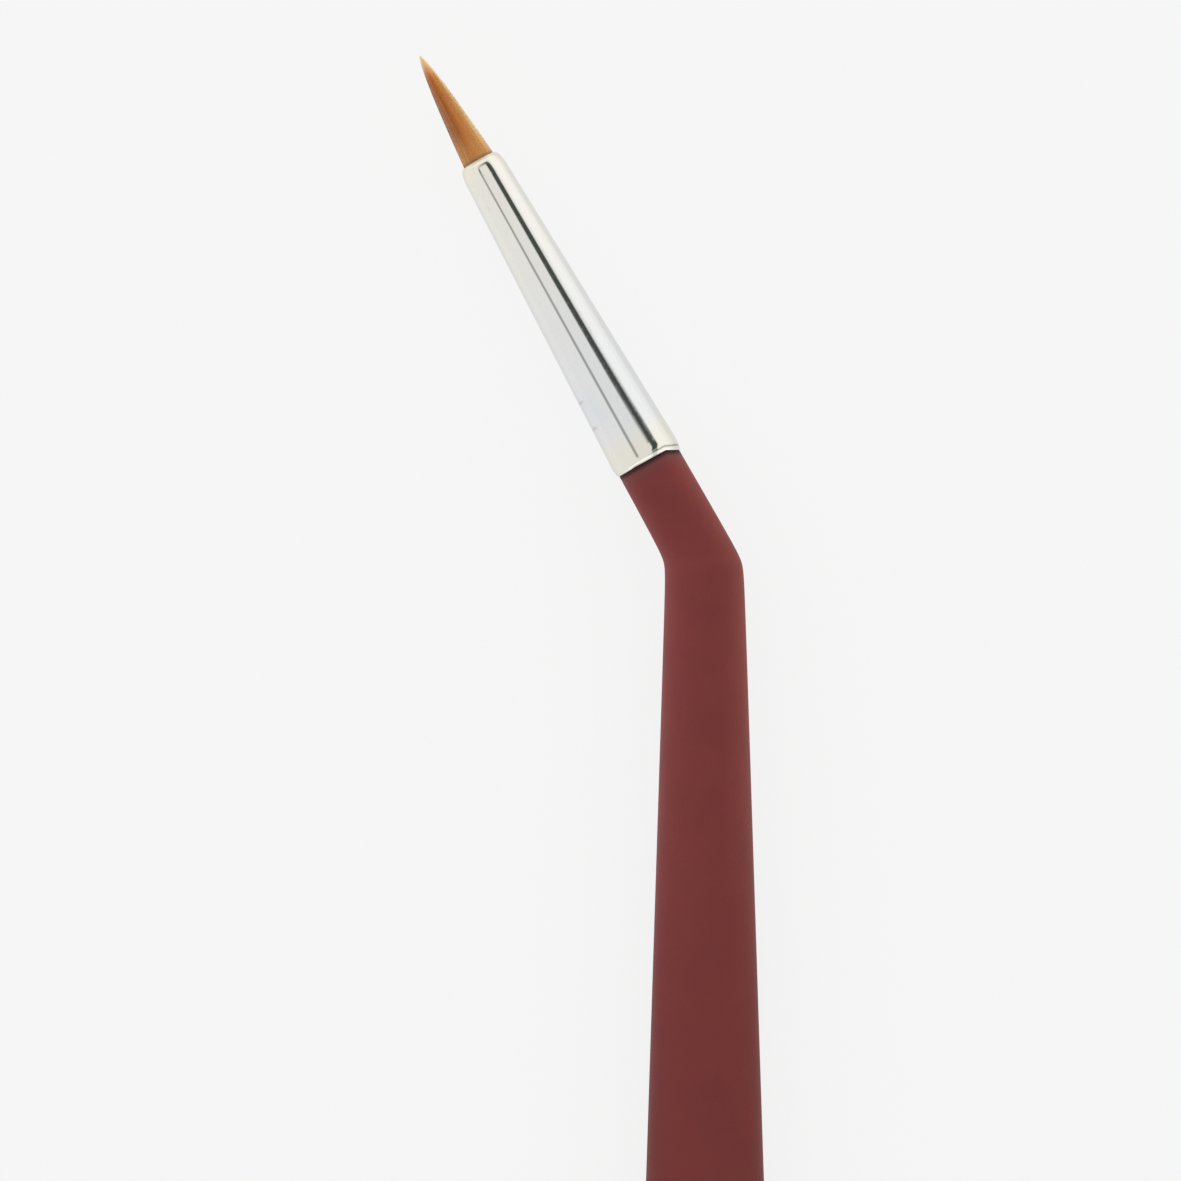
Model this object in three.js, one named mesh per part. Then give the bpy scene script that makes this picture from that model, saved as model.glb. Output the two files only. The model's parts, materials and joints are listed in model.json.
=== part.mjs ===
// A fine detail brush with an angled head: a moulded handle with a bend below its neck, a
// tapered metal ferrule glued to the handle's tenon, and a pointed tuft of fine filaments that is
// bound with thread and set in epoxy inside the ferrule.
//
// Millimetres, +Z up. The brush lies on its side on a table at z = 0, with the handle along +Y
// and the head leaning towards -X. The origin is the middle of the underside of the box round it.
// It is drawn upright, with the tail's end at the origin, the handle along +Z and the head leaning
// towards -X in the XZ plane, and is laid down at the end.

import * as THREE from "three";

// --- Driving dimensions ----------------------------------------------------------------------

const FERRULE_LENGTH = 25.4; // one-inch ferrule tube
const FERRULE_WALL = 0.25;
const FERRULE_TAPER = 0.0388; // loss of radius for each millimetre of length
const FERRULE_RADIUS = 2.62; // widest outer radius, near the rim
const RIM_ROLL_LENGTH = 0.7; // last stretch of the tube, rolled in at the handle's end
const RIM_ROLL_DEPTH = 0.14;
const NOSE_LENGTH = 1.4; // rounded end that closes on the tuft
const MOUTH_RADIUS = 1.3; // opening at the nose

const TUFT_LENGTH = 8.9; // filaments that stand out of the mouth
const TUFT_RADIUS = 1.225; // of the tuft's outline, at the mouth
const TUFT_POINT_POWER = 0.61; // how full the pointed round is; 1 would be a straight cone
const TUFT_FLEX_HEIGHT = 1.26; // above the mouth, the point that the tuft bends about
const TUFT_ROOT_LENGTH = 12; // from the bundle's cut end to the mouth

const BEND_HEIGHT = 122; // where the head's axis crosses the handle's
const BEND_ANGLE = THREE.MathUtils.degToRad(29.4);
const BEND_SOFTNESS = 0.7; // length over which the centreline turns
const NECK_LENGTH = 8.6; // from the crossing to the ferrule's rim
const BEND_HALF_WIDTH = 2.88; // of the handle at the crossing, measured square to the shaft
const NECK_TAPER = 0.0165; // loss of that half-width for each millimetre up the neck
const SHAFT_TAPER = 0.0323; // gain of it for each millimetre down the shaft
const SHAFT_END_HEIGHT = 80; // where the straight cone runs into the belly
const BELLY_HEIGHT = 61;
const BELLY_RADIUS = 4.68;
const TAIL_RADIUS = 2.35; // just above the rounded end
const TAIL_TAPER = 0.022;
const TAIL_ROUND_HEIGHT = 1.8;
const TAIL_FLAT_RADIUS = 1.2;

const TENON_LENGTH = 9.6; // part of the handle inside the ferrule
const TENON_CHAMFER = 0.4;
const GLUE_THICKNESS = 0.3;
const GLUE_SPAN = [2.3, 5.3]; // above the rim
const EPOXY_FLOOR = 1.4; // resin behind the bundle's cut end
const EPOXY_SKIRT = 1; // resin round the bundle

const THREAD_RADIUS = 0.1;
const THREAD_TURNS = 4;

const GAP = 0.3; // left between neighbouring pieces
const AROUND = 32; // facets round a turned piece
const BODY_START_HEIGHT = 6; // where the handle's even rings start, above the rounded tail
const BODY_RINGS = 16; // sets a facet, not an edge, under the point that the brush rests on
const BEND_START_HEIGHT = 119; // where the rings close up for the bend

// --- Helpers ---------------------------------------------------------------------------------

// Evenly spaced values from one end to the other, both included.
function steps(from, to, count) {
  return Array.from({ length: count + 1 }, (_, i) => from + ((to - from) * i) / count);
}

// Cubic through two heights with a given radius and slope at each.
function hermite(z, low, high) {
  const span = high.z - low.z;
  const t = (z - low.z) / span;
  const t2 = t * t;
  const t3 = t2 * t;
  return (
    (2 * t3 - 3 * t2 + 1) * low.r +
    (t3 - 2 * t2 + t) * span * low.slope +
    (3 * t2 - 2 * t3) * high.r +
    (t3 - t2) * span * high.slope
  );
}

// A solid of revolution about +Z from [radius, height] pairs that run up its outside.
function turned(profile) {
  const points = profile.map(([radius, height]) => new THREE.Vector2(radius, height));
  return new THREE.LatheGeometry(points, AROUND).rotateX(Math.PI / 2);
}

function piece(name, geometry, material) {
  const mesh = new THREE.Mesh(geometry, material);
  mesh.name = name;
  return mesh;
}

// --- Materials -------------------------------------------------------------------------------

const paint = (color, roughness, metalness = 0) =>
  new THREE.MeshStandardMaterial({ color, roughness, metalness });

const burgundy = paint(0x723a39, 0.55);
const brightMetal = paint(0xdedcd6, 0.08, 1);
const amberFilament = paint(0xb27845, 0.4);
const waxedThread = paint(0xd9cfb8, 0.8);
const amberEpoxy = paint(0xc7a566, 0.2);
const clearGlue = paint(0xd8d2c2, 0.35);

// --- Ferrule, in the head's frame, measured up from its rim ----------------------------------

const noseStart = FERRULE_LENGTH - NOSE_LENGTH;

// The tube is a plain cone above the rolled rim.
const coneRadius = (z) => FERRULE_RADIUS - FERRULE_TAPER * Math.max(0, z - RIM_ROLL_LENGTH);
const boreRadius = (z) => coneRadius(z) - FERRULE_WALL;

// A quarter of an ellipse, from the cone's end in to the mouth.
function nose(startRadius, length, count) {
  return steps(0, Math.PI / 2, count).map((a) => [
    MOUTH_RADIUS + (startRadius - MOUTH_RADIUS) * Math.cos(a),
    noseStart + length * Math.sin(a),
  ]);
}

function ferrule() {
  const roll = steps(0, Math.PI / 2, 4).map((a) => [
    FERRULE_RADIUS - RIM_ROLL_DEPTH * (1 - Math.sin(a)),
    RIM_ROLL_LENGTH * (1 - Math.cos(a)),
  ]);
  const cone = steps(RIM_ROLL_LENGTH, noseStart, 7).slice(1, -1).map((z) => [coneRadius(z), z]);
  const outerNose = nose(coneRadius(noseStart), NOSE_LENGTH, 6);
  const innerNose = nose(boreRadius(noseStart), NOSE_LENGTH - FERRULE_WALL, 4).reverse();
  const bore = steps(noseStart, 0, 7).slice(1).map((z) => [boreRadius(z), z]);
  return turned([...roll, ...cone, ...outerNose, ...innerNose, ...bore, roll[0]]);
}

// --- Tuft ------------------------------------------------------------------------------------

const tuftRadius = (z) => TUFT_RADIUS * (1 - z / TUFT_LENGTH) ** TUFT_POINT_POWER;

// The rigid tip starts as a ball round the point that it bends about, so that it turns without
// touching the ferrule or its own root.
const ballRadius = tuftRadius(TUFT_FLEX_HEIGHT);
const ballBottom = TUFT_FLEX_HEIGHT - ballRadius;

function tuftTip() {
  const ball = steps(0, Math.PI / 2, 5)
    .slice(0, -1)
    .map((a) => [ballRadius * Math.sin(a), TUFT_FLEX_HEIGHT - ballRadius * Math.cos(a)]);
  const point = steps(TUFT_FLEX_HEIGHT, TUFT_LENGTH, 11).map((z) => [tuftRadius(z), z]);
  return turned([...ball, ...point]);
}

const rootEnd = FERRULE_LENGTH - TUFT_ROOT_LENGTH;
const rootTop = FERRULE_LENGTH + ballBottom - GAP;
const rootRadius = MOUTH_RADIUS - GAP;

function tuftRoot() {
  return turned([
    [0, rootEnd],
    [rootRadius, rootEnd],
    [rootRadius, rootTop],
    [0, rootTop],
  ]);
}

// --- Epoxy: a cup cast round the bundle's cut end --------------------------------------------

const skirtTop = rootEnd + EPOXY_SKIRT;

function rootEpoxy() {
  const cupFloor = rootEnd - GAP;
  const outside = [cupFloor - EPOXY_FLOOR, skirtTop].map((z) => [boreRadius(z) - GAP, z]);
  return turned([
    [0, cupFloor - EPOXY_FLOOR],
    ...outside,
    [rootRadius + GAP, skirtTop],
    [rootRadius + GAP, cupFloor],
    [0, cupFloor],
  ]);
}

// --- Binding thread: a helix round the bundle, above the epoxy -------------------------------

const threadHelixRadius = rootRadius + GAP + THREAD_RADIUS;
const threadPitch = 2.5 * THREAD_RADIUS;
const threadStart = skirtTop + GAP + THREAD_RADIUS;

class Helix extends THREE.Curve {
  getPoint(t, target = new THREE.Vector3()) {
    const turn = 2 * Math.PI * THREAD_TURNS * t;
    return target.set(
      threadHelixRadius * Math.cos(turn),
      threadHelixRadius * Math.sin(turn),
      threadStart + threadPitch * THREAD_TURNS * t,
    );
  }
}

function bindingThread() {
  const circle = new THREE.EllipseCurve(0, 0, THREAD_RADIUS, THREAD_RADIUS);
  const section = new THREE.Shape(circle.getPoints(6).slice(0, -1));
  return new THREE.ExtrudeGeometry(section, {
    extrudePath: new Helix(),
    steps: 14 * THREAD_TURNS,
    curveSegments: 1,
  });
}

// --- Adhesive: a sleeve in the tenon's groove ------------------------------------------------

const tenonRadius = (z) => boreRadius(z) - GAP;
const grooveRadius = (z) => tenonRadius(z) - GLUE_THICKNESS - GAP;

function tenonAdhesive() {
  const outside = GLUE_SPAN.map((z) => [tenonRadius(z), z]);
  const inside = GLUE_SPAN.map((z) => [tenonRadius(z) - GLUE_THICKNESS, z]).reverse();
  return turned([...outside, ...inside, outside[0]]);
}

// --- Handle ----------------------------------------------------------------------------------

// The handle is drawn straight and then bent. A height on the straight one is BEND_HEIGHT plus the
// distance beyond the crossing, along the shaft's axis below it and along the head's above it.
const rimHeight = BEND_HEIGHT + NECK_LENGTH;
const shoulderHeight = rimHeight - GAP;

// How far round the corner the centreline has come: 0 well below the crossing, and the whole
// distance beyond it well above, with a hyperbola in between.
const cornering = (beyond) => (beyond + Math.hypot(beyond, BEND_SOFTNESS)) / 2;
const cornerShare = (beyond) => (1 + beyond / Math.hypot(beyond, BEND_SOFTNESS)) / 2;

function lean(beyond) {
  const share = cornerShare(beyond);
  return Math.atan2(share * Math.sin(BEND_ANGLE), 1 - share * (1 - Math.cos(BEND_ANGLE)));
}

// The half-width square to the shaft tapers evenly on each side of the crossing, and the handle is
// round about its own centreline.
function stemRadius(z) {
  const beyond = z - BEND_HEIGHT;
  const up = Math.cos(lean(beyond)) * Math.max(0, beyond);
  const halfWidth = BEND_HALF_WIDTH - NECK_TAPER * up + SHAFT_TAPER * Math.max(0, -beyond);
  return halfWidth * Math.cos(lean(beyond));
}

function bodyRadius(z) {
  const tail = { z: TAIL_ROUND_HEIGHT, r: TAIL_RADIUS, slope: TAIL_TAPER };
  const belly = { z: BELLY_HEIGHT, r: BELLY_RADIUS, slope: 0 };
  const shaft = { z: SHAFT_END_HEIGHT, r: stemRadius(SHAFT_END_HEIGHT), slope: -SHAFT_TAPER };
  return z < BELLY_HEIGHT ? hermite(z, tail, belly) : hermite(z, belly, shaft);
}

function tenon() {
  const [glueStart, glueEnd] = GLUE_SPAN;
  const grooveStart = glueStart - GAP;
  const grooveEnd = glueEnd + GAP;
  const end = tenonRadius(TENON_LENGTH);
  return [
    [tenonRadius(0), -GAP],
    [tenonRadius(grooveStart), grooveStart],
    [grooveRadius(grooveStart), grooveStart],
    [grooveRadius(grooveEnd), grooveEnd],
    [tenonRadius(grooveEnd), grooveEnd],
    [end, TENON_LENGTH - TENON_CHAMFER],
    [end - TENON_CHAMFER, TENON_LENGTH],
    [0, TENON_LENGTH],
  ].map(([radius, z]) => [radius, rimHeight + z]);
}

// Moves a point of the straight handle to its place on the bent one. The sections tilt more slowly
// than the centreline leans, over the whole neck, and are widened in the plane of the bend to make
// up for it, so that the inside and the outside of the bend are rounded alike.
function bendPoint(point) {
  const beyond = point.z - BEND_HEIGHT;
  const corner = cornering(beyond);
  const tilt = BEND_ANGLE * THREE.MathUtils.smoothstep(point.z, BEND_HEIGHT, shoulderHeight);
  const across = point.x / Math.cos(lean(beyond) - tilt);
  point.x = across * Math.cos(tilt) - corner * Math.sin(BEND_ANGLE);
  point.z += across * Math.sin(tilt) - corner * (1 - Math.cos(BEND_ANGLE));
}

function handle() {
  const tailRound = steps(0, Math.PI / 2, 6).map((a) => [
    TAIL_FLAT_RADIUS + (TAIL_RADIUS - TAIL_FLAT_RADIUS) * Math.sin(a),
    TAIL_ROUND_HEIGHT * (1 - Math.cos(a)),
  ]);
  const body = steps(BODY_START_HEIGHT, SHAFT_END_HEIGHT, BODY_RINGS).map((z) => [bodyRadius(z), z]);
  const shaft = steps(SHAFT_END_HEIGHT, BEND_START_HEIGHT, 7).slice(1);
  const bend = steps(BEND_START_HEIGHT, shoulderHeight, 24).slice(1);
  const stem = [...shaft, ...bend].map((z) => [stemRadius(z), z]);
  const geometry = turned([[0, 0], ...tailRound, ...body, ...stem, ...tenon()]);
  const position = geometry.getAttribute("position");
  const point = new THREE.Vector3();
  for (let i = 0; i < position.count; i++) {
    point.fromBufferAttribute(position, i);
    bendPoint(point);
    position.setXYZ(i, point.x, point.y, point.z);
  }
  return geometry;
}

// --- Assembly --------------------------------------------------------------------------------

// The head's frame has its +Z along the leaning head and its origin at the ferrule's rim.
const head = new THREE.Group();
head.rotation.y = -BEND_ANGLE;
head.position.set(
  -NECK_LENGTH * Math.sin(BEND_ANGLE),
  0,
  BEND_HEIGHT + NECK_LENGTH * Math.cos(BEND_ANGLE),
);

const tip = piece("tuft_tip", tuftTip(), amberFilament);
tip.position.z = FERRULE_LENGTH;

head.add(
  piece("ferrule", ferrule(), brightMetal),
  piece("tenon_adhesive", tenonAdhesive(), clearGlue),
  piece("root_epoxy", rootEpoxy(), amberEpoxy),
  piece("tuft_root", tuftRoot(), amberFilament),
  piece("binding_thread", bindingThread(), waxedThread),
  tip,
);

const brush = new THREE.Group();
brush.add(piece("handle", handle(), burgundy), head);

// Laid on its side, with the middle of its box's underside at the origin.
brush.rotation.x = -Math.PI / 2;
const room = new THREE.Box3().setFromObject(brush, true);
const middle = room.getCenter(new THREE.Vector3());
brush.position.set(-middle.x, -middle.y, -room.min.z);

export default brush;
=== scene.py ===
"""A fine detail brush with an angled head, lying on a pale light table.

Lengths are in millimetres in the brush's own frames and become metres when a piece is placed.
The upright frame has its origin at the tail's flat and +Z along the straight handle, and the head
leans towards -X. The head's frame has its origin at the ferrule's rim and +Z towards the tip.
"""

import json
import math
import random

import bpy
import numpy as np
from mathutils import Matrix, Vector


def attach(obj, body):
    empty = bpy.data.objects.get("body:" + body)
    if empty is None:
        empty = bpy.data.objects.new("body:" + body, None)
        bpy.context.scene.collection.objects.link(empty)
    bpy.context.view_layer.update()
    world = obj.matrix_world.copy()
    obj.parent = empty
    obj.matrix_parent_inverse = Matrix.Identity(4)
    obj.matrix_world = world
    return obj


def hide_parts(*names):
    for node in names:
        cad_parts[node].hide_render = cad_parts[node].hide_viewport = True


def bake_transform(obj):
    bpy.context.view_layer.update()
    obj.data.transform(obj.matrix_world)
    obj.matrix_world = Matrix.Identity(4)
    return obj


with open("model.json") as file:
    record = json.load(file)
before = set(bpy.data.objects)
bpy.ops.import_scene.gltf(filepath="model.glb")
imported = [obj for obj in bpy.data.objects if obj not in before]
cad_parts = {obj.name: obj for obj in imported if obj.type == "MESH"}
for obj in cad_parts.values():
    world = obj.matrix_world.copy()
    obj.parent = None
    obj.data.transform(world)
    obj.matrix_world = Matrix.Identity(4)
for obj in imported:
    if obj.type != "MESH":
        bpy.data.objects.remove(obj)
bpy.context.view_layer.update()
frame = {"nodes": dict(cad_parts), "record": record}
random.seed(11)

# --- Driving dimensions ---------------------------------------------------------------------

MM = 0.001

FERRULE_LENGTH = 25.4
FERRULE_WALL = 0.25
FERRULE_TAPER = 0.0388  # loss of radius for each millimetre of length
FERRULE_RADIUS = 2.62  # widest outer radius, near the rim
RIM_ROLL_LENGTH = 0.7  # last stretch of the tube, rolled in at the handle's end
RIM_EDGE_RADIUS = 2.478
RIM_TONGUE_LENGTH = 0.49  # extra length of the rim on the outside of the bend
RIM_TONGUE_START = 0.6  # of the radius across, where that extra length starts
RIM_BEVEL = 0.012
RIM_EDGE_WALL = 0.045  # of the thinned edge
CREASE_HEIGHT = 0.245  # of the fold above the rim, where the rolled edge starts
CREASE_RADIUS = 2.562
CREASE_LIFT = 0.125  # how much higher the fold is on the outside of the bend
SHOULDER_DROP = 0.045  # in radius, from the widest ring down to the fold
NOSE_LENGTH = 1.4
MOUTH_RADIUS = 1.3
LIP_RADIUS = 0.05

TUFT_LENGTH = 8.9
TUFT_RADIUS = 1.225
TUFT_POINT_POWER = 0.61  # how full the pointed round is; 1 would be a straight cone

BEND_HEIGHT = 122  # where the head's axis crosses the handle's
BEND_ANGLE = math.radians(29.4)
BEND_SOFTNESS = 0.7  # length over which the centreline turns
NECK_LENGTH = 8.6  # from the crossing to the ferrule's rim
BEND_HALF_WIDTH = 2.88  # of the handle at the crossing, square to the shaft
NECK_TAPER = 0.0165  # loss of that half-width for each millimetre up the neck
SHAFT_TAPER = 0.0323  # gain of it for each millimetre down the shaft
BEND_START_HEIGHT = 118  # where the rings close up for the bend
SHAFT_END_HEIGHT = 80  # where the straight cone runs into the belly
BELLY_HEIGHT = 61
BELLY_RADIUS = 4.68
TAIL_RADIUS = 2.35
TAIL_TAPER = 0.022
BODY_START_HEIGHT = 3  # where the handle's even rings start
TAIL_ROUND_HEIGHT = 1.8
TAIL_FLAT_RADIUS = 1.2

TENON_LENGTH = 9.6
TENON_CLEARANCE = 0.3
TENON_CHAMFER = 0.4
GROOVE_SPAN = (2.0, 5.6)
GROOVE_DEPTH = 0.6

# --- The brush's frames ---------------------------------------------------------------------

RIM_HEIGHT = BEND_HEIGHT + NECK_LENGTH
SHOULDER_HEIGHT = RIM_HEIGHT - TENON_CLEARANCE

tail = Vector(frame["record"]["mounts"][0]["pos_m"])
rim_centre = Vector((
    -NECK_LENGTH * math.sin(BEND_ANGLE),
    0,
    BEND_HEIGHT + NECK_LENGTH * math.cos(BEND_ANGLE),
))
UPRIGHT = Matrix.Translation(tail) @ Matrix.Rotation(-math.pi / 2, 4, "X") @ Matrix.Scale(MM, 4)
HEAD = UPRIGHT @ Matrix.Translation(rim_centre) @ Matrix.Rotation(-BEND_ANGLE, 4, "Y")


def direction(placed, vector):
    """A unit vector of a frame, in the world."""
    return (placed.to_3x3() @ Vector(vector)).normalized()


# --- Mesh helpers ---------------------------------------------------------------------------


def build(name, points, faces, placed, attributes=(), normals=None):
    """A smooth mesh from points of a frame, with (name, values) attributes one or three wide.
    normals, where given, are one unit vector for each point, and only shade it."""
    matrix = np.array(placed)
    mesh = bpy.data.meshes.new(name)
    mesh.from_pydata((points @ matrix[:3, :3].T + matrix[:3, 3]).tolist(), [], faces)
    for label, values in attributes:
        values = np.asarray(values, np.float32)
        kind, field = ("FLOAT_VECTOR", "vector") if values.ndim == 2 else ("FLOAT", "value")
        mesh.attributes.new(label, kind, "POINT").data.foreach_set(field, values.ravel())
    mesh.shade_smooth()
    mesh.update()
    if normals is not None:
        mesh.normals_split_custom_set_from_vertices((normals @ matrix[:3, :3].T / MM).tolist())
    piece = bpy.data.objects.new(name, mesh)
    bpy.context.collection.objects.link(piece)
    return piece


def ring_faces(rings, around, first=0):
    """Quads between rings of points that go round anticlockwise seen from +Z, listed upwards."""
    faces = []
    for ring in range(rings - 1):
        for i in range(around):
            low, after = first + ring * around, (i + 1) % around
            faces.append((low + i, low + after, low + around + after, low + around + i))
    return faces


def capped(rings):
    """Points and faces of a skin through rings of points, closed by a fan at each end."""
    count, around, _ = rings.shape
    points = np.vstack([rings.reshape(-1, 3), rings[0].mean(0), rings[-1].mean(0)])
    bottom, top, last = count * around, count * around + 1, (count - 1) * around
    faces = ring_faces(count, around)
    for i in range(around):
        after = (i + 1) % around
        faces.append((bottom, after, i))
        faces.append((top, last + i, last + after))
    return points, faces


def turned(profile, around):
    """Rings of points about +Z from (radius, height) pairs."""
    angle = np.linspace(0, 2 * math.pi, around, endpoint=False)
    radius, height = np.array(profile, float).T
    return np.stack([
        np.outer(radius, np.cos(angle)),
        np.outer(radius, np.sin(angle)),
        np.outer(height, np.ones(around)),
    ], axis=-1)


def smoothstep(x, low, high):
    t = np.clip((x - low) / (high - low), 0, 1)
    return t * t * (3 - 2 * t)


def arc(count):
    """Angles over a quarter turn, ends included."""
    return np.linspace(0, math.pi / 2, count)


# --- Handle ---------------------------------------------------------------------------------


def cone_radius(z):
    return FERRULE_RADIUS - FERRULE_TAPER * np.maximum(0, z - RIM_ROLL_LENGTH)


def bore_radius(z):
    return cone_radius(z) - FERRULE_WALL


def lean(beyond):
    """How far the centreline has turned, at a distance beyond the crossing."""
    share = (1 + beyond / np.hypot(beyond, BEND_SOFTNESS)) / 2
    return np.arctan2(share * math.sin(BEND_ANGLE), 1 - share * (1 - math.cos(BEND_ANGLE)))


def stem_radius(z):
    beyond = z - BEND_HEIGHT
    turn = np.cos(lean(beyond))
    half_width = BEND_HALF_WIDTH - NECK_TAPER * turn * np.maximum(0, beyond)
    return (half_width + SHAFT_TAPER * np.maximum(0, -beyond)) * turn


def hermite(z, low, high):
    """Cubic through two (height, radius, slope) triples."""
    span = high[0] - low[0]
    t = (z - low[0]) / span
    return (
        (2 * t**3 - 3 * t**2 + 1) * low[1]
        + (t**3 - 2 * t**2 + t) * span * low[2]
        + (3 * t**2 - 2 * t**3) * high[1]
        + (t**3 - t**2) * span * high[2]
    )


def body_radius(z):
    belly = (BELLY_HEIGHT, BELLY_RADIUS, 0)
    if z < BELLY_HEIGHT:
        return hermite(z, (TAIL_ROUND_HEIGHT, TAIL_RADIUS, TAIL_TAPER), belly)
    return hermite(z, belly, (SHAFT_END_HEIGHT, stem_radius(SHAFT_END_HEIGHT), -SHAFT_TAPER))


def tenon_profile():
    """The part of the handle that is inside the ferrule, with its glue groove."""
    def tenon(z):
        return bore_radius(z) - TENON_CLEARANCE

    # The first points step in from the neck to the tenon, just above the rim.
    start, end = GROOVE_SPAN
    return [
        (stem_radius(RIM_HEIGHT + 0.08), 0.08),
        (stem_radius(RIM_HEIGHT) - 0.02, 0.14),
        (tenon(0.2), 0.2),
        (tenon(start), start),
        (tenon(start) - GROOVE_DEPTH, start),
        (tenon(end) - GROOVE_DEPTH, end),
        (tenon(end), end),
        (tenon(TENON_LENGTH), TENON_LENGTH - TENON_CHAMFER),
        (tenon(TENON_LENGTH) - TENON_CHAMFER, TENON_LENGTH),
    ]


def bent(points):
    """Moves points of the straight handle to their places on the bent one."""
    beyond = points[..., 2] - BEND_HEIGHT
    corner = (beyond + np.hypot(beyond, BEND_SOFTNESS)) / 2
    tilt = BEND_ANGLE * smoothstep(points[..., 2], BEND_HEIGHT, SHOULDER_HEIGHT)
    across = points[..., 0] / np.cos(lean(beyond) - tilt)
    return np.stack([
        across * np.cos(tilt) - corner * math.sin(BEND_ANGLE),
        points[..., 1],
        points[..., 2] + across * np.sin(tilt) - corner * (1 - math.cos(BEND_ANGLE)),
    ], axis=-1)


def make_handle():
    tail_round = [
        (
            TAIL_FLAT_RADIUS + (TAIL_RADIUS - TAIL_FLAT_RADIUS) * math.sin(a),
            TAIL_ROUND_HEIGHT * (1 - math.cos(a)),
        )
        for a in arc(14)
    ]
    body = [(body_radius(z), z) for z in np.linspace(BODY_START_HEIGHT, SHAFT_END_HEIGHT, 60)]
    stem_heights = np.concatenate([
        np.linspace(SHAFT_END_HEIGHT, BEND_START_HEIGHT, 24)[1:],
        np.linspace(BEND_START_HEIGHT, RIM_HEIGHT, 72)[1:],
    ])
    stem = [(stem_radius(z), z) for z in stem_heights]
    tenon = [(radius, RIM_HEIGHT + z) for radius, z in tenon_profile()]
    rings = turned([*tail_round, *body, *stem, *tenon], around=112)
    straight, faces = capped(rings)
    handle = build("handle_body", bent(straight), faces, UPRIGHT, [("straight", straight)])
    handle.data.set_sharp_from_angle(angle=math.radians(50))
    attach(handle, "root")
    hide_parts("handle")
    return handle


# --- Ferrule --------------------------------------------------------------------------------


def make_ferrule():
    """A seamless tube: rolled in at its rim, tapered, and closed down on the tuft at its nose."""
    nose_start = FERRULE_LENGTH - NOSE_LENGTH
    lip_outside = MOUTH_RADIUS + LIP_RADIUS
    nose_drop = cone_radius(nose_start) - lip_outside
    nose_rise = NOSE_LENGTH - LIP_RADIUS
    lip_height = FERRULE_LENGTH - LIP_RADIUS
    # The bevelled edge, and the fold that it ends at.
    outer = [
        (RIM_EDGE_RADIUS - RIM_BEVEL, 0.0),
        (RIM_EDGE_RADIUS, RIM_BEVEL),
        ((RIM_EDGE_RADIUS + 2 * CREASE_RADIUS) / 3 - 0.004, 0.66 * CREASE_HEIGHT),
        (CREASE_RADIUS - 0.006, CREASE_HEIGHT - 0.02),
        (CREASE_RADIUS + 0.004, CREASE_HEIGHT + 0.02),
    ]
    shoulder = np.linspace(CREASE_HEIGHT + 0.08, RIM_ROLL_LENGTH, 8)
    rise = (shoulder - shoulder[0]) / (shoulder[-1] - shoulder[0])
    outer += [(FERRULE_RADIUS - SHOULDER_DROP * (1 - t) ** 2, z) for t, z in zip(rise, shoulder)]
    outer += [(cone_radius(z), z) for z in np.linspace(RIM_ROLL_LENGTH, nose_start, 60)[1:]]
    outer += [
        (lip_outside + nose_drop * math.cos(a), nose_start + nose_rise * math.sin(a))
        for a in arc(22)[1:]
    ]
    lip = [
        (MOUTH_RADIUS + LIP_RADIUS * math.cos(a), lip_height + LIP_RADIUS * math.sin(a))
        for a in np.linspace(0, math.pi, 9)[1:]
    ]
    rim_inside = RIM_EDGE_RADIUS - RIM_EDGE_WALL
    inner = [(MOUTH_RADIUS - LIP_RADIUS, FERRULE_LENGTH - 0.5)]
    inner += [(bore_radius(z), z) for z in np.linspace(nose_start - 0.6, 0.6, 20)]
    inner += [(rim_inside, 0.3), (rim_inside, RIM_BEVEL)]
    around = 160
    rings = turned([*outer, *lip, *inner], around)

    # The crease stands higher on the outside of the bend, and the rim has a short tongue there.
    height = rings[..., 2]
    share = rings[..., 0] / np.hypot(rings[..., 0], rings[..., 1])
    near_rim = 1 - smoothstep(height, 0.1, 1.2)
    crease_lift = CREASE_LIFT * share * smoothstep(height, 0, CREASE_HEIGHT)
    # Where painted shade darkens the fold above the rim, most on the outside of the bend.
    crease = np.exp(-((height - CREASE_HEIGHT) / 0.05) ** 2) * smoothstep(share, -0.1, 0.5)
    beyond_kink = np.maximum(0, share - RIM_TONGUE_START) / (1 - RIM_TONGUE_START)
    rings[..., 2] += near_rim * (crease_lift - RIM_TONGUE_LENGTH * beyond_kink)

    count = len(rings)
    faces = ring_faces(count, around)
    last = (count - 1) * around
    faces += [(last + i, last + (i + 1) % around, (i + 1) % around, i) for i in range(around)]
    points = rings.reshape(-1, 3)
    attributes = [("local", points), ("crease", crease.ravel())]
    ferrule = build("ferrule_tube", points, faces, HEAD, attributes)
    ferrule.data.set_sharp_from_angle(angle=math.radians(38))
    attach(ferrule, "root")
    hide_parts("ferrule")
    return ferrule


# --- Tuft -----------------------------------------------------------------------------------

FILAMENTS = 220
FILAMENT_SIDES = 8
FILAMENT_SEGMENTS = 16
FILAMENT_WIDTH = 0.13
FILAMENT_ROUNDNESS = 0.3  # how much a filament is shaded by its own shape and not the bundle's
CORE_SHARE = 0.98  # of the outline, so that the filaments are only part proud of the core
CORE_LENGTH = 0.998 * TUFT_LENGTH
CORE_RINGS = 48
CORE_AROUND = 180
TUFT_START = -0.5  # above the mouth, where the modelled part of the bundle starts


def tuft_radius(z):
    """The pointed round's outline, above the mouth, and straight below it."""
    return TUFT_RADIUS * np.clip(1 - np.maximum(z, 0) / TUFT_LENGTH, 0, 1) ** TUFT_POINT_POWER


def bends_with_tuft(piece):
    """Bakes a piece of the tuft's placement into its points, and hides the CAD tuft's tip."""
    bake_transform(piece)
    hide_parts("tuft_tip")
    return piece


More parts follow.
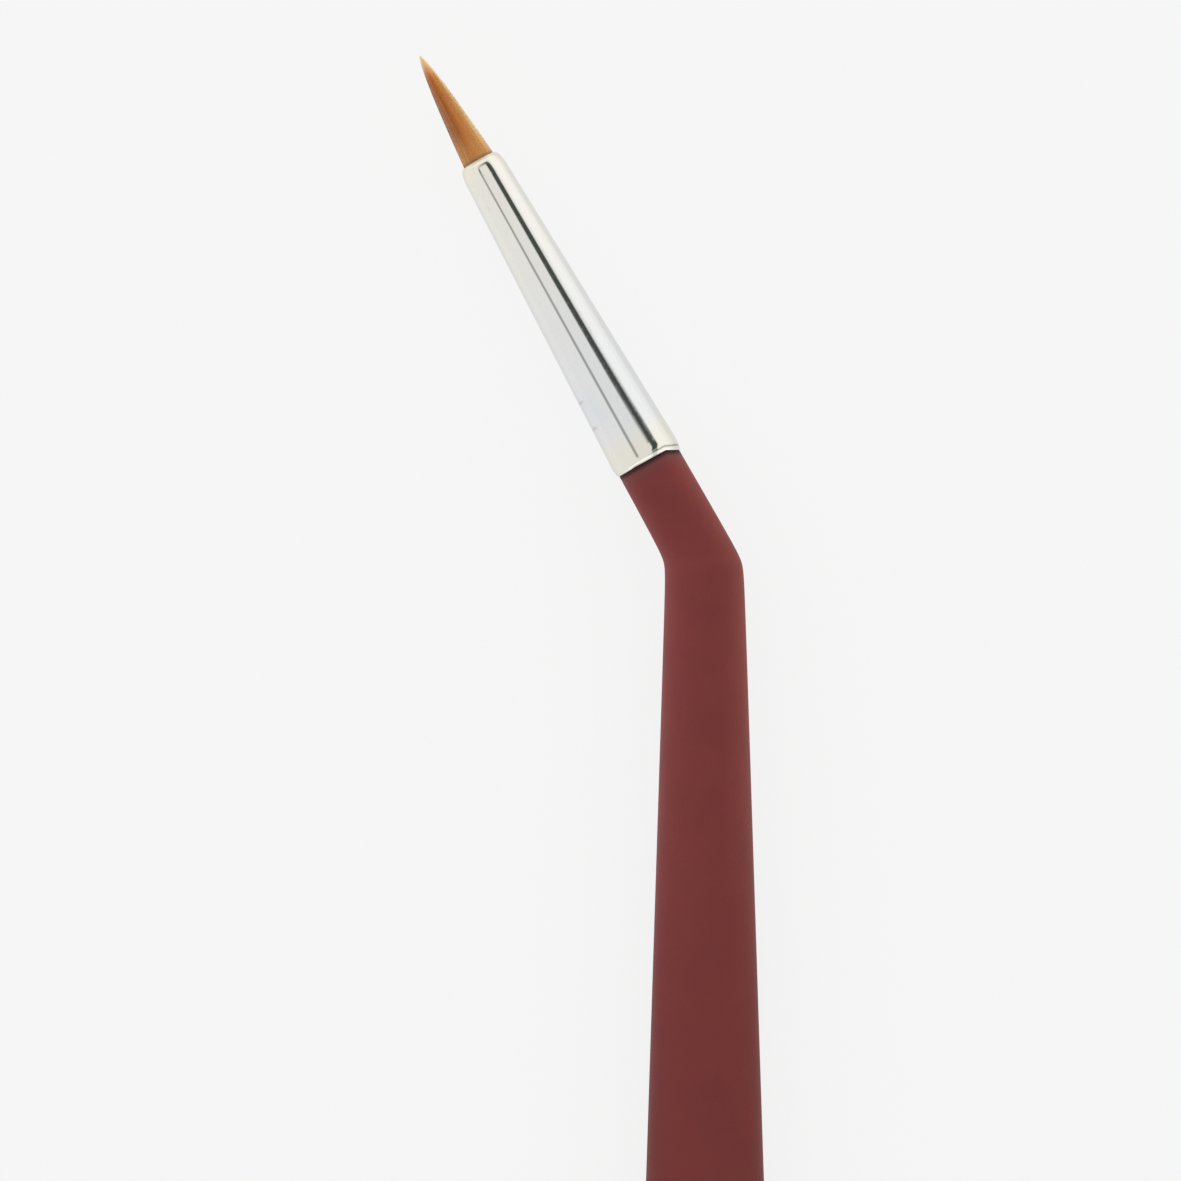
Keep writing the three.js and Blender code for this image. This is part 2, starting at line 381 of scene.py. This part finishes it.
def outward(azimuth, z):
    """Unit vectors square to the bundle's outline."""
    step = 0.01
    slope = (tuft_radius(z + step) - tuft_radius(z - step)) / (2 * step)
    normals = np.stack([np.cos(azimuth), np.sin(azimuth), np.minimum(-slope, 1.0)], -1)
    return normals / np.linalg.norm(normals, axis=-1, keepdims=True)


def filament(index):
    """One filament's points and shading normals, how far along each point is, and its tone."""
    end = TUFT_LENGTH * (0.995 - 0.3 * random.random() ** 1.5)
    t = np.linspace(0, 1, FILAMENT_SEGMENTS + 1)
    z = TUFT_START + (end - TUFT_START) * (1 - (1 - t) ** 1.25)
    outline = tuft_radius(z)
    width = FILAMENT_WIDTH * (outline / TUFT_RADIUS) ** 0.75
    width *= 1 - 0.8 * smoothstep(t, 0.8, 1)
    sunk = 0.03 * smoothstep(t, 0.75, 1)
    radius = np.maximum(outline - width * random.uniform(0.5, 0.72) - sunk, 0)
    twist = random.uniform(-0.2, 0.2) * np.maximum(z, 0) / TUFT_LENGTH
    wander = 0.02 * np.sin(t * random.uniform(3, 6) + random.uniform(0, 6)) * smoothstep(z, 0.2, 2)
    azimuth = 2 * math.pi * (index + random.random()) / FILAMENTS + twist + wander
    centre = np.stack([radius * np.cos(azimuth), radius * np.sin(azimuth), FERRULE_LENGTH + z], -1)
    around = np.linspace(0, 2 * math.pi, FILAMENT_SIDES, endpoint=False) + azimuth[0]
    section = np.stack([np.cos(around), np.sin(around), 0 * around], -1)
    points = centre[:, None] + section[None] * width[:, None, None] / 2
    normals = outward(azimuth, z)[:, None] * (1 - FILAMENT_ROUNDNESS)
    normals = normals + section[None] * FILAMENT_ROUNDNESS
    normals /= np.linalg.norm(normals, axis=-1, keepdims=True)
    along = np.repeat(np.maximum(z, 0) / TUFT_LENGTH, FILAMENT_SIDES)
    return points.reshape(-1, 3), normals.reshape(-1, 3), along, np.full(len(along), random.random())


def make_filaments():
    """The strands that stand out of the mouth, as one mesh."""
    made = [filament(i) for i in range(FILAMENTS)]
    size = len(made[0][0])
    end = FILAMENT_SEGMENTS * FILAMENT_SIDES
    strand_faces = ring_faces(FILAMENT_SEGMENTS + 1, FILAMENT_SIDES)
    strand_faces.append(tuple(reversed(range(FILAMENT_SIDES))))
    strand_faces.append(tuple(end + i for i in range(FILAMENT_SIDES)))
    faces = [tuple(size * k + i for i in face) for k in range(FILAMENTS) for face in strand_faces]
    points, normals, along, tone = (np.concatenate(values) for values in zip(*made))
    attributes = [("local", points), ("along", along), ("tone", tone)]
    return bends_with_tuft(build("tuft_filaments", points, faces, HEAD, attributes, normals))


def make_core():
    """The rest of the bundle, behind the outer filaments, with furrows along it."""
    t = np.linspace(0, 1, CORE_RINGS)
    z = TUFT_START + (CORE_LENGTH - TUFT_START) * (1 - (1 - t) ** 1.7)
    radius = np.maximum(CORE_SHARE * tuft_radius(z), 0.01)
    rings = turned(np.stack([radius, FERRULE_LENGTH + z], -1), CORE_AROUND)
    angle = np.linspace(0, 2 * math.pi, CORE_AROUND, endpoint=False)
    furrow = 1 + 0.006 * np.sin(31 * angle) + 0.005 * np.sin(17 * angle + 1)
    rings[..., :2] *= furrow[None, :, None]
    points, faces = capped(rings)
    along = np.maximum(points[:, 2] - FERRULE_LENGTH, 0) / TUFT_LENGTH
    tone = np.full(len(points), 0.5)
    attributes = [("local", points), ("along", along), ("tone", tone)]
    return bends_with_tuft(build("tuft_core", points, faces, HEAD, attributes))


# --- Node helpers ---------------------------------------------------------------------------


class Graph:
    """Short calls for building a node tree. A value may be a number, a colour or a socket."""

    def __init__(self, tree):
        self.tree = tree
        tree.nodes.clear()

    def node(self, kind, inputs=(), **settings):
        node = self.tree.nodes.new(kind)
        for name, value in settings.items():
            setattr(node, name, value)
        for name, value in dict(inputs).items():
            self.set(node.inputs[name], value)
        return node

    def set(self, socket, value):
        if isinstance(value, bpy.types.NodeSocket):
            self.tree.links.new(value, socket)
        else:
            socket.default_value = value

    def math(self, operation, *values):
        node = self.node("ShaderNodeMath", operation=operation)
        for socket, value in zip(node.inputs, values):
            self.set(socket, value)
        return node.outputs[0]

    def hypot(self, a, b):
        return self.math("SQRT", self.math("ADD", self.math("POWER", a, 2), self.math("POWER", b, 2)))

    def split(self, vector):
        return self.node("ShaderNodeSeparateXYZ", {"Vector": vector}).outputs[:]

    def dot(self, vector, axis):
        node = self.node("ShaderNodeVectorMath", operation="DOT_PRODUCT")
        self.set(node.inputs[0], vector)
        node.inputs[1].default_value = axis
        return node.outputs["Value"]

    def span(self, value, low, high, start=0.0, end=1.0):
        """Value mapped smoothly from low..high to start..end, and held outside."""
        node = self.node("ShaderNodeMapRange", interpolation_type="SMOOTHSTEP")
        for socket, given in zip(node.inputs, (value, low, high, start, end)):
            self.set(socket, given)
        return node.outputs[0]

    def blend(self, share, a, b):
        """Number or colour a where share is 0, and b where it is 1."""
        node = self.node("ShaderNodeMix", data_type="RGBA")
        for socket, value in zip((node.inputs[0], node.inputs[6], node.inputs[7]), (share, a, b)):
            if isinstance(value, (int, float)) and socket != node.inputs[0]:
                value = (value, value, value, 1)
            self.set(socket, value)
        return node.outputs[2]

    def ramp(self, value, stops):
        """Colours from (value, colour) pairs, eased from each to the next."""
        node = self.node("ShaderNodeValToRGB", {"Fac": value})
        node.color_ramp.interpolation = "EASE"
        elements = node.color_ramp.elements
        while len(elements) < len(stops):
            elements.new(1)
        for element, (position, colour) in zip(elements, stops):
            element.position = position
            element.color = colour
        return node.outputs["Color"]

    def near(self, place, centre, reach, stretch=(1, 1, 1)):
        """1 at a point, down to 0 at the reach from it, measured after the stretch."""
        scaled = self.node("ShaderNodeVectorMath", operation="MULTIPLY")
        self.set(scaled.inputs[0], place)
        self.set(scaled.inputs[1], stretch)
        apart = self.node("ShaderNodeVectorMath", operation="DISTANCE")
        self.set(apart.inputs[0], scaled.outputs[0])
        self.set(apart.inputs[1], [c * k for c, k in zip(centre, stretch)])
        return self.span(apart.outputs["Value"], 0, reach, 1, 0)

    def attribute(self, name, output):
        return self.node("ShaderNodeAttribute", attribute_name=name).outputs[output]

    def noise(self, vector, scale, detail=2.0, stretch=(1, 1, 1)):
        """Noise over a vector, finer along the axes that stretch makes longer."""
        mapping = self.node("ShaderNodeMapping", {"Vector": vector, "Scale": stretch})
        inputs = {"Vector": mapping.outputs[0], "Scale": scale, "Detail": detail}
        return self.node("ShaderNodeTexNoise", inputs).outputs["Fac"]

    def bump(self, height, distance, strength=1.0, normal=None):
        inputs = {"Height": height, "Distance": distance, "Strength": strength}
        if normal:
            inputs["Normal"] = normal
        return self.node("ShaderNodeBump", inputs).outputs[0]


def material(name, paint):
    """A node material. paint is given the graph and returns the shader's inputs."""
    made = bpy.data.materials.new(name)
    made.use_nodes = True
    graph = Graph(made.node_tree)
    shader = graph.node("ShaderNodeBsdfPrincipled", paint(graph))
    graph.node("ShaderNodeOutputMaterial", {"Surface": shader.outputs[0]})
    return made


def wear(piece, made):
    piece.data.materials.clear()
    piece.data.materials.append(made)


def rgb(red, green, blue):
    """A colour from its 8-bit sRGB values, as linear light."""
    def linear(value):
        value /= 255
        return value / 12.92 if value <= 0.04045 else ((value + 0.055) / 1.055) ** 2.4

    return (linear(red), linear(green), linear(blue), 1)


# --- Materials ------------------------------------------------------------------------------


def burgundy_plastic(g):
    """Moulded plastic with a fine matte skin, painted shade darkening it towards the tail, and
    painted shade under the ferrule's rim: a soft dark band and a dark line.
    """
    place = g.attribute("straight", "Vector")
    across, deep, height = g.split(place)
    cloud = g.noise(place, 0.35, 3)
    grain = g.noise(place, 9.0, 3)
    fine = g.noise(place, 26.0, 2)
    colour = g.blend(g.span(cloud, 0.3, 0.7), rgb(112, 52, 51), rgb(117, 54, 52))
    colour = g.blend(g.span(grain, 0.35, 0.75, 0, 0.3), colour, rgb(104, 47, 46))
    # Painted shade: the plastic darkens towards the tail, where less light falls on the handle.
    colour = g.blend(g.span(height, BELLY_HEIGHT, BEND_HEIGHT, 0.5, 0), colour, rgb(102, 46, 44))

    share = g.math("DIVIDE", across, g.hypot(across, deep))
    beyond_kink = g.math("MAXIMUM", g.math("SUBTRACT", share, RIM_TONGUE_START), 0)
    tongue = g.math("MULTIPLY", beyond_kink, RIM_TONGUE_LENGTH / (1 - RIM_TONGUE_START))
    below_rim = g.math("SUBTRACT", g.math("SUBTRACT", RIM_HEIGHT, tongue), height)
    # Painted shade under the ferrule's rim: a soft darker band, then a dark line right at the rim.
    colour = g.blend(g.span(below_rim, 0.1, 1.6, 0.6, 0), colour, rgb(102, 66, 65))
    colour = g.blend(g.span(below_rim, 0.1, 0.5, 0.88, 0), colour, rgb(42, 24, 29))
    normal = g.bump(grain, 0.02 * MM, 0.35)
    return {
        "Base Color": colour,
        "Roughness": g.span(fine, 0.3, 0.7, 0.46, 0.56),
        "Specular IOR Level": 0.08,
        "Normal": g.bump(fine, 0.006 * MM, 0.3, normal),
    }


MARKS = ((-2.26, -0.85, 6.1), (-2.26, -0.85, 3.95))  # faint, on the ferrule's left side
MARK_REACH = 0.42
TARNISH = (-1.8, -1.6, 5.2)
TARNISH_REACH = 1.6


def bright_nickel(g):
    """Polished plate over drawn brass, with faint drawing marks along it, small handling marks, and
    painted shade as a dark line in the fold above the rim.
    """
    place = g.attribute("local", "Vector")
    drawn = g.noise(place, 6.0, 3, stretch=(1, 1, 0.06))
    ripple = g.noise(place, 0.5, 1, stretch=(1, 1, 0.5))
    spots = g.noise(place, 3.2, 4)
    crease = g.attribute("crease", "Fac")
    across, _, height = g.split(place)
    colour = g.blend(g.span(height, 7.5, 22), rgb(234, 235, 235), rgb(241, 239, 231))
    colour = g.blend(g.span(height, 1.2, 3.2, 1, 0), colour, rgb(239, 236, 225))
    colour = g.blend(g.span(height, 23.6, 24.8), colour, rgb(245, 240, 226))
    colour = g.blend(g.span(spots, 0.55, 0.8, 0, 0.5), colour, rgb(224, 220, 212))
    tarnish = g.near(place, TARNISH, TARNISH_REACH, stretch=(1, 0.6, 0.7))
    colour = g.blend(g.math("MULTIPLY", tarnish, 0.6), colour, rgb(224, 232, 236))
    for centre in MARKS:
        mark = g.near(place, centre, MARK_REACH, stretch=(1, 0.3, 1.9))
        colour = g.blend(g.math("MULTIPLY", mark, 0.5), colour, rgb(168, 172, 172))
    # Painted shade: a dark line in the fold above the rim, darkest on the outside of the bend.
    colour = g.blend(g.math("MULTIPLY", crease, 0.75), colour, rgb(88, 90, 82))
    normal = g.bump(ripple, 0.012 * MM, 0.2)
    return {
        "Base Color": colour,
        "Metallic": 1.0,
        "Roughness": g.span(spots, 0.4, 0.75, 0.05, 0.09),
        "Normal": g.bump(drawn, 0.0006 * MM, 0.2, normal),
    }


def amber_filament(g):
    """Glossy tapered filament with painted light and shade: a deep orange stripe of painted shade
    left of the middle of the bundle, painted light paler to the right and pale at its point and its
    right side, painted shade dull at its left and dark at the mouth."""
    along = g.attribute("along", "Fac")
    tone = g.attribute("tone", "Fac")
    place = g.attribute("local", "Vector")
    across, deep, _ = g.split(place)
    side = g.math("DIVIDE", across, g.math("MAXIMUM", g.hypot(across, deep), 0.02))
    # Painted light and shade across the bundle, as if lit from the right: dull and greyish at the
    # left edge, a deep orange stripe of shade left of the middle, paler to the right and palest at
    # the right edge.
    colour = g.ramp(g.math("MULTIPLY_ADD", side, 0.5, 0.5), (
        (0.0, rgb(142, 106, 90)),
        (0.08, rgb(146, 100, 78)),
        (0.2, rgb(170, 100, 55)),
        (0.35, rgb(157, 76, 16)),
        (0.5, rgb(196, 110, 46)),
        (0.65, rgb(209, 128, 58)),
        (0.8, rgb(204, 138, 72)),
        (0.93, rgb(218, 180, 130)),
        (1.0, rgb(228, 200, 162)),
    ))
    streak = g.noise(place, 2.6, 2, stretch=(1, 1, 0.08))
    colour = g.blend(g.span(streak, 0.4, 0.7, 0, 0.25), colour, rgb(148, 74, 22))
    colour = g.blend(g.math("MULTIPLY", tone, 0.14), colour, rgb(224, 160, 88))
    colour = g.blend(g.span(along, 0.06, 0.32, 0.55, 0), colour, rgb(208, 142, 76))
    # Painted light: the point turns pale, like light shining through the thin ends.
    colour = g.blend(g.span(along, 0.77, 1.0, 0, 0.95), colour, rgb(216, 193, 155))
    # Painted shade: a dark olive band at the mouth, where the ferrule shades the roots.
    colour = g.blend(g.span(along, 0.0, 0.045, 0.7, 0), colour, rgb(112, 100, 66))
    return {
        "Base Color": colour,
        "Subsurface Weight": 0.3,
        "Subsurface Radius": (1.0, 0.5, 0.22),
        "Subsurface Scale": 0.3 * MM,
        "Roughness": 0.45,
        "Specular IOR Level": 0.2,
    }


def waxed_thread(g):
    fuzz = g.noise(g.node("ShaderNodeTexCoord").outputs["Object"], 9000.0, 3)
    return {
        "Base Color": g.blend(fuzz, rgb(196, 184, 158), rgb(230, 222, 200)),
        "Roughness": 0.75,
        "Sheen Weight": 0.3,
        "Normal": g.bump(fuzz, 0.02 * MM, 0.6),
    }


def set_resin(dark, light, roughness):
    """Clear or amber glue, cloudy and slightly uneven where it set."""
    def paint(g):
        cloud = g.noise(g.node("ShaderNodeTexCoord").outputs["Object"], 900.0, 3)
        return {
            "Base Color": g.blend(cloud, dark, light),
            "Roughness": roughness,
            "Coat Weight": 0.4,
            "Coat Roughness": 0.1,
            "Normal": g.bump(cloud, 0.05 * MM, 0.3),
        }

    return paint


def hidden_bundle(g):
    """The filaments inside the ferrule, seen as one bundle."""
    coord = g.node("ShaderNodeTexCoord").outputs["Object"]
    fibres = g.noise(coord, 5000.0, 2)
    return {
        "Base Color": g.blend(fibres, rgb(124, 76, 38), rgb(190, 136, 84)),
        "Roughness": 0.45,
        "Normal": g.bump(fibres, 0.03 * MM, 0.5),
    }


# --- Stage: a light table under a light tent ------------------------------------------------

BACKGROUND = 0.922
TABLE_RINGS = (0.02, 0.5, 3)  # radii in metres
TABLE_GREY = 0.09  # how much of the light on it the table sends back
TABLE_FADE = (0.011, 0.026)  # along the table, where its light on the brush grows towards the head
TABLE_LIGHT = (0.45, 2.2)
LEFT_TINT = (1.0, 0.86, 0.84, 1)  # of the table's light on the brush, on each side of the handle
RIGHT_TINT = (1.15, 1.0, 0.76, 1)
TINT_REACH = 0.01  # from the handle's axis, where each tint is full
MIRRORED_RIGHT = (0.005, 0.03, 0.72, 0.9)  # what the metal sees of the table beside the head, as
MIRRORED_LEFT = (-0.012, -0.004, 0.08, 0)  # distances across the head and the glow between them


def make_table():
    """A pale light table. It shines evenly, so that it takes only a faint shadow."""
    around = 96
    rings = turned([(radius, 0) for radius in TABLE_RINGS], around)
    points, faces = capped(rings)
    # Of the two fans only the one in the middle is kept, because a disc has no other end.
    disc, middle = faces[: 2 * around], faces[-2 * around :: 2]
    table = build("light_table", points, disc + middle, Matrix())
    made = bpy.data.materials.new("light_table")
    made.use_nodes = True
    g = Graph(made.node_tree)
    place = g.node("ShaderNodeTexCoord").outputs["Object"]
    right, along, _ = g.split(place)
    sideways = direction(HEAD, (1, 0, 0))
    beside = g.math("SUBTRACT", g.dot(place, sideways), sideways.dot(HEAD.translation))
    mirrored = g.math("ADD", g.span(beside, *MIRRORED_RIGHT), g.span(beside, *MIRRORED_LEFT))
    path = g.node("ShaderNodeLightPath")
    cast = g.span(along, *TABLE_FADE, *TABLE_LIGHT)
    seen = g.blend(path.outputs["Is Glossy Ray"], BACKGROUND - TABLE_GREY, mirrored)
    either = g.math("MAXIMUM", path.outputs["Is Camera Ray"], path.outputs["Is Glossy Ray"])
    on_right = g.span(right, tail.x - TINT_REACH, tail.x + TINT_REACH)
    tint = g.blend(on_right, LEFT_TINT, RIGHT_TINT)
    tint = g.blend(either, tint, (1, 1, 1, 1))
    diffuse = g.node("ShaderNodeBsdfDiffuse", {"Color": (TABLE_GREY, TABLE_GREY, TABLE_GREY, 1)})
    glow = g.node("ShaderNodeEmission", {"Color": tint, "Strength": g.blend(either, cast, seen)})
    both = g.node("ShaderNodeAddShader")
    g.set(both.inputs[0], diffuse.outputs[0])
    g.set(both.inputs[1], glow.outputs[0])
    g.node("ShaderNodeOutputMaterial", {"Surface": both.outputs[0]})
    wear(table, made)


# The tent, by angles in degrees: turn goes about the head's axis, from straight up to the right of
# the head, and rise goes towards the tip. Lights are (low, high, glow at low, glow at high).
RIGHT_PANEL = (42, 64, 0.84, 1.04)
LEFT_PANEL = (-28, -24, 0.87, 0.0)
TIP_PANEL = (33, 42, 0.0, 0.98)
HANDLE_PANEL = (-30, -24, 1.15, 0.0)
# What is dark is (low, high, softness of its edges).
GAP = (22.4, 44.6, 3.5)
SEAM = (-28.5, -19.5, 2.6)
HOOK = (28, 36, 3)
HOOK_TURN = (-27, 43, 4)
GAP_SWING_START = 6.2  # rise below which the gap swings to the right
GAP_SWING_RATE = 6.6  # of that swing, for each squared degree below
GAP_SWING_MOST = 10.5
HOOK_MIDDLE = 8  # turn at which the hook's top is highest
HOOK_HALF_WIDTH = 36
HOOK_DROP = 8  # how far its ends are below it
TABLE_EDGE_GLOW = 0.3
DARK = rgb(58, 64, 59)
BRIGHTER_SIDE = (-0.12, 0.35, 0)  # in the world, and how much brighter the light on the brush is


def make_tent():
    """Even light all round. What polished things reflect has a dark gap between two lit panels,
    a narrow seam beside it, a hook over both at the tip, and a softer far side."""
    world = bpy.data.worlds.new("light_tent")
    bpy.context.scene.world = world
    world.use_nodes = True
    world.cycles.sampling_method = "NONE"
    g = Graph(world.node_tree)
    towards = g.node("ShaderNodeTexCoord").outputs["Generated"]
    across = g.dot(towards, direction(HEAD, (1, 0, 0)))
    front = g.dot(towards, direction(HEAD, (0, -1, 0)))
    axis = g.dot(towards, direction(HEAD, (0, 0, 1)))
    turn = g.math("DEGREES", g.math("ARCTAN2", across, front))
    rise = g.math("DEGREES", g.math("ARCSINE", axis))

    def band(value, low, high, soft):
        """1 between low and high, with soft edges."""
        up = g.span(value, low - soft, low + soft)
        down = g.span(value, high - soft, high + soft, 1, 0)
        return g.math("MULTIPLY", up, down)

    lit = g.span(turn, *RIGHT_PANEL)
    for value, panel in ((turn, LEFT_PANEL), (rise, TIP_PANEL), (rise, HANDLE_PANEL)):
        lit = g.math("MAXIMUM", lit, g.span(value, *panel))

    low = g.math("MAXIMUM", g.math("SUBTRACT", GAP_SWING_START, rise), 0)
    swing = g.math("MULTIPLY", g.math("POWER", low, 2), GAP_SWING_RATE)
    swing = g.math("MINIMUM", swing, GAP_SWING_MOST)
    swing = g.math("MULTIPLY", swing, g.span(rise, -22, 2, 0.5, 1))
    sideways = g.math("DIVIDE", g.math("SUBTRACT", turn, HOOK_MIDDLE), HOOK_HALF_WIDTH)
    corner = g.math("MINIMUM", g.math("POWER", sideways, 4), 2)
    top = g.math("ADD", rise, g.math("MULTIPLY", corner, HOOK_DROP))
    before_hook = g.span(top, 27, 32, 1, 0)

    gap = g.math("MULTIPLY", band(g.math("SUBTRACT", turn, swing), *GAP), before_hook)
    gap = g.math("MULTIPLY", gap, g.span(rise, -26, -16, 0.3, 1))
    seam = g.math("MULTIPLY", band(turn, *SEAM), before_hook)
    seam = g.math("MULTIPLY", seam, g.span(rise, -14, -4, 0, 0.58))
    seam = g.math("MULTIPLY", seam, g.span(rise, 8, 16, 1, 1.35))
    hook = g.math("MULTIPLY", band(top, *HOOK), band(turn, *HOOK_TURN))
    hook = g.math("MULTIPLY", hook, g.span(turn, -20, 36, 0.35, 0.9))

    # Towards and away from the tip, the tent darkens down to the table's edge.
    end_on = g.math("ADD", g.span(rise, 42, 58, 0, 0.35), g.span(rise, -58, -42, 1, 0))
    height = g.math("DEGREES", g.math("ARCSINE", g.split(towards)[2]))
    shade = g.blend(end_on, lit, g.span(height, 2, 50, TABLE_EDGE_GLOW, 1.0))
    for darkness in (g.math("MULTIPLY", gap, 0.97), seam, hook):
        shade = g.blend(darkness, shade, DARK)

    even = g.math("ADD", g.dot(towards, BRIGHTER_SIDE), 1.0)
    path = g.node("ShaderNodeLightPath")
    strength = g.blend(path.outputs["Is Glossy Ray"], even, shade)
    strength = g.blend(path.outputs["Is Camera Ray"], strength, BACKGROUND)
    background = g.node("ShaderNodeBackground", {"Color": strength, "Strength": 1.0})
    g.node("ShaderNodeOutputWorld", {"Surface": background.outputs[0]})


SHOWN_WIDTH = 87.16  # of the picture, at the height of the brush's axis
PICTURE_CENTRE = (-8.45, 119.9)  # across and along the upright handle


def make_camera():
    """Straight above the head and the upper half of the handle, square to the table."""
    data = bpy.data.cameras.new("camera")
    data.lens = 200
    data.sensor_width = 36
    camera = bpy.data.objects.new("camera", data)
    bpy.context.collection.objects.link(camera)
    distance = SHOWN_WIDTH * data.lens / data.sensor_width
    across, along = PICTURE_CENTRE
    camera.location = UPRIGHT @ Vector((across, -distance, along))
    data.clip_start = 0.01
    data.clip_end = 20
    bpy.context.scene.camera = camera
    bpy.context.scene.view_settings.view_transform = "Standard"


# --- The brush ------------------------------------------------------------------------------

handle = make_handle()
ferrule = make_ferrule()
filaments = make_filaments()
core = make_core()

wear(handle, material("burgundy_plastic", burgundy_plastic))
wear(ferrule, material("bright_nickel", bright_nickel))
amber = material("amber_filament", amber_filament)
wear(filaments, amber)
wear(core, amber)

nodes = frame["nodes"]
epoxy = set_resin(rgb(178, 142, 80), rgb(208, 176, 112), 0.2)
clear = set_resin(rgb(204, 198, 182), rgb(226, 220, 206), 0.35)
wear(nodes["binding_thread"], material("waxed_thread", waxed_thread))
wear(nodes["root_epoxy"], material("amber_epoxy", epoxy))
wear(nodes["tenon_adhesive"], material("clear_adhesive", clear))
wear(nodes["tuft_root"], material("hidden_bundle", hidden_bundle))

make_table()
make_tent()
make_camera()
